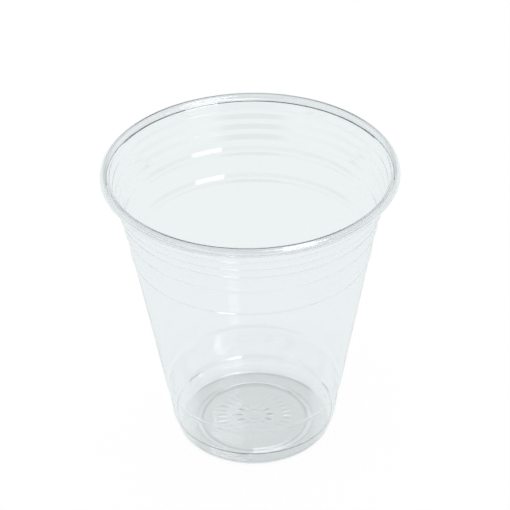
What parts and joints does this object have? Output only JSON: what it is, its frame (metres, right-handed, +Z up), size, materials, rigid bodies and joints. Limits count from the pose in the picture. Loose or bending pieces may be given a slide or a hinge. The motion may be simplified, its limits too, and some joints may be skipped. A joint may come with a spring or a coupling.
{
  "type": "disposable plastic cup",
  "caption": "Clear tapered disposable cup with a rolled rim, a stepped collar for a lid, two grip bands, a low ring and shoulder, and a foot with stacking lugs.",
  "frame": {"origin": "centre of the cup's footprint, on the plane it stands on", "axes": "+Z up along the cup's axis, from the foot to the open mouth; the cup is round, so X and Y are free, and one stacking lug lies 20 degrees round from +X"},
  "size_m": [0.0982, 0.0982, 0.104],
  "materials": {
    "clear_plastic": "clear, colourless and glossy, formed from thin sheet"
  },
  "bodies": {
    "root": {"cup": "clear_plastic"}
  },
  "joints": []
}
